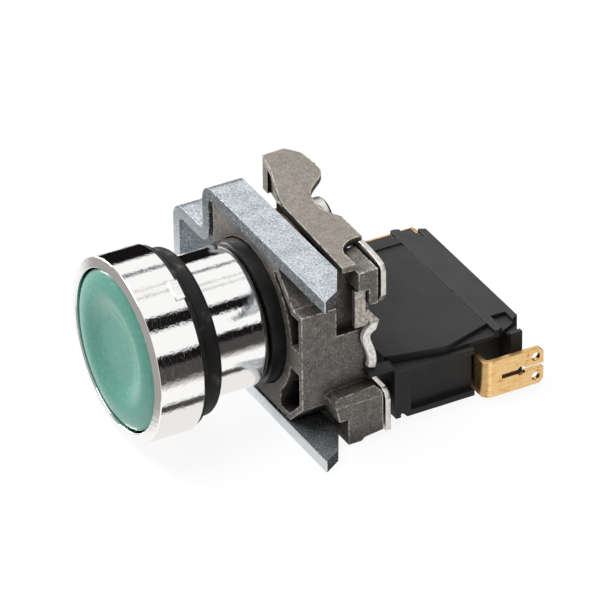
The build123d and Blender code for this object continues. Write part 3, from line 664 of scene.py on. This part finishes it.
# ---------------------------------------------------------------- CAD nodes shown as they are
PLAIN = {
    "pusher": GREY, "actuator_plate": GREY, "block_plunger": GREY, "bayonet_ring": BLACK,
    "lip_seal": RUBBER, "return_spring": SPRING, "plunger_spring": SPRING,
    "bridge_spring": SPRING, "contact_bridge": COPPER, "bridge_tips": SILVER,
    "near_contact": SILVER, "far_contact": SILVER,
}
for node, material in PLAIN.items():
    solid = frame["nodes"][node].data
    solid.materials.clear()
    solid.materials.append(material)

# ---------------------------------------------------------------- floor, light and camera
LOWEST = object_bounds()[0].z
WHITE = srgb("ffffff")


def studio_floor():
    """A pale sheet under the object: nearly white to the camera, with a faint soft shadow."""
    data = bmesh.new()
    bmesh.ops.create_grid(data, x_segments=1, y_segments=1, size=3.0)
    bmesh.ops.translate(data, verts=data.verts, vec=(0, 0, LOWEST - 0.02 * MM))
    mesh = bpy.data.meshes.new("floor")
    data.to_mesh(mesh)
    data.free()
    made = bpy.data.objects.new("floor", mesh)
    bpy.context.scene.collection.objects.link(made)
    material = bpy.data.materials.new("white_paper")
    material.use_nodes = True
    tree = material.node_tree
    tree.nodes.remove(tree.nodes["Principled BSDF"])
    path = add_node(tree, "ShaderNodeLightPath")
    paper = add_node(tree, "ShaderNodeBsdfDiffuse", {"Color": srgb("f4f4f4")})
    lit = add_node(tree, "ShaderNodeEmission", {"Color": WHITE, "Strength": 1.0})
    clear = add_node(tree, "ShaderNodeBsdfTransparent")
    seen = add_node(tree, "ShaderNodeMath", {0: path.outputs["Is Camera Ray"], 1: 0.90},
                    operation="MULTIPLY")
    sheet = add_node(tree, "ShaderNodeMixShader", {0: seen, 1: paper, 2: lit})
    # Mirrors look through the sheet, at the panels of the tent.
    set_inputs(tree, tree.nodes["Material Output"], {
        "Surface": add_node(tree, "ShaderNodeMixShader", {
            0: path.outputs["Is Glossy Ray"], 1: sheet, 2: clear,
        }),
    })
    mesh.materials.append(material)


def studio_world():
    """Soft light for matt surfaces; mirrors see a tent of panels with dark gaps between them."""
    world = bpy.data.worlds.new("studio")
    bpy.context.scene.world = world
    world.use_nodes = True
    tree = world.node_tree
    towards = add_node(tree, "ShaderNodeTexCoord").outputs["Generated"]
    axes = add_node(tree, "ShaderNodeSeparateXYZ", {0: towards})

    # Slanting back from the object: panels round the button's axis, each from its own angle to
    # the next one's, in degrees from +X towards +Z.
    white, pale, dim, dark = "ffffff", "f0eeec", "4a4747", "161414"
    panels = [(-180, dark), (-168, white), (-144, pale), (-63, dim), (-51, white),
              (-29, "d2cfcd"), (-25, "96928f"), (-21, dim), (-1, dark), (14, white), (43.5, dark),
              (60, white), (86, "6a6765"), (87.5, white), (97, "8f8c8a"), (98, white),
              (121, dim), (126.5, white), (150, dark)]
    angle_round = add_node(tree, "ShaderNodeMath", {0: axes.outputs["Z"], 1: axes.outputs["X"]},
                           operation="ARCTAN2")
    turn = add_node(tree, "ShaderNodeMapRange", {
        "Value": angle_round, "From Min": -pi, "From Max": pi,
    })
    sides = add_node(tree, "ShaderNodeValToRGB", {"Fac": turn},
                     stops=[((angle + 180) / 360, colour) for angle, colour in panels])
    sides.color_ramp.interpolation = "CONSTANT"

    # Ahead of it a grey wall, white low down; square beside it white; straight behind it dark.
    below = add_node(tree, "ShaderNodeMapRange", {
        "Value": axes.outputs["Z"], "From Min": -0.585, "From Max": -0.63,
    })
    beside = add_node(tree, "ShaderNodeMapRange", {
        "Value": axes.outputs["Y"], "From Min": -0.36, "From Max": -0.28,
    })
    open_side = add_node(tree, "ShaderNodeMath", {0: below, 1: beside}, operation="MAXIMUM")
    wall = add_node(tree, "ShaderNodeValToRGB", {"Fac": open_side}, stops=[
        (0.0, "a5a2a0"), (1.0, white),
    ])
    ahead = add_node(tree, "ShaderNodeMapRange", {
        "Value": axes.outputs["Y"], "From Min": 0.33, "From Max": 0.22,
    })
    fronted = add_node(tree, "ShaderNodeMix", {
        "Factor": ahead, "A": sides, "B": wall,
    }, data_type="RGBA")
    behind = add_node(tree, "ShaderNodeMapRange", {
        "Value": axes.outputs["Y"], "From Min": 0.50, "From Max": 0.70,
    })
    tent = add_node(tree, "ShaderNodeMix", {
        "Factor": behind, "A": fronted, "B": srgb(dark),
    }, data_type="RGBA")

    # The diffuse light comes mostly from above, from the left and from behind.
    slope = add_node(tree, "ShaderNodeVectorMath", {0: towards, 1: (-0.26, 0.20, 0.32)},
                     operation="DOT_PRODUCT")
    soft = add_node(tree, "ShaderNodeMath", {0: slope, 1: 0.37}, operation="ADD",
                    use_clamp=True)
    path = add_node(tree, "ShaderNodeLightPath")
    light = add_node(tree, "ShaderNodeMix", {
        "Factor": path.outputs["Is Glossy Ray"], "A": soft, "B": tent,
    }, data_type="RGBA")
    set_inputs(tree, tree.nodes["Background"], {
        "Color": add_node(tree, "ShaderNodeMix", {
            "Factor": path.outputs["Is Camera Ray"], "A": light, "B": WHITE,
        }, data_type="RGBA"),
        "Strength": 1.0,
    })


def panel_light(name, direction, distance, size, power):
    """A square soft light that looks at the object from the given direction."""
    lamp = bpy.data.lights.new(name, "AREA")
    lamp.shape = "SQUARE"
    lamp.size = size
    lamp.energy = power
    made = bpy.data.objects.new(name, lamp)
    bpy.context.scene.collection.objects.link(made)
    made.location = Vector(direction).normalized() * distance
    made.rotation_euler = Vector(direction).to_track_quat("Z", "Y").to_euler()


def studio_camera():
    """A long lens above the object, to its right and a little ahead of it."""
    azimuth, elevation, roll = radians(62.0), radians(32.9), radians(-0.8)
    distance, aim = 0.8889, Vector((9.51, 14.83, 6.02)) * MM
    level = Vector((cos(azimuth), sin(azimuth), 0))
    back = Vector((sin(azimuth) * cos(elevation), -cos(azimuth) * cos(elevation),
                   sin(elevation)))
    upright = back.cross(level)
    right = level * cos(roll) + upright * sin(roll)
    up = upright * cos(roll) - level * sin(roll)
    stand = aim + back * distance
    lens = bpy.data.cameras.new("camera")
    lens.sensor_width = 36
    lens.lens = 360
    lens.clip_start = 0.05
    lens.clip_end = 20
    camera = bpy.data.objects.new("camera", lens)
    camera.matrix_world = Matrix((
        (right.x, up.x, back.x, stand.x), (right.y, up.y, back.y, stand.y),
        (right.z, up.z, back.z, stand.z), (0, 0, 0, 1),
    ))
    bpy.context.scene.collection.objects.link(camera)
    bpy.context.scene.camera = camera


studio_floor()
studio_world()
panel_light("top_light", (-0.15, -0.25, 1.0), distance=0.5, size=0.35, power=2.5)
panel_light("left_light", (-1.0, -0.28, 0.25), distance=0.6, size=0.3, power=4.6)
studio_camera()
bpy.context.scene.view_settings.view_transform = "Standard"
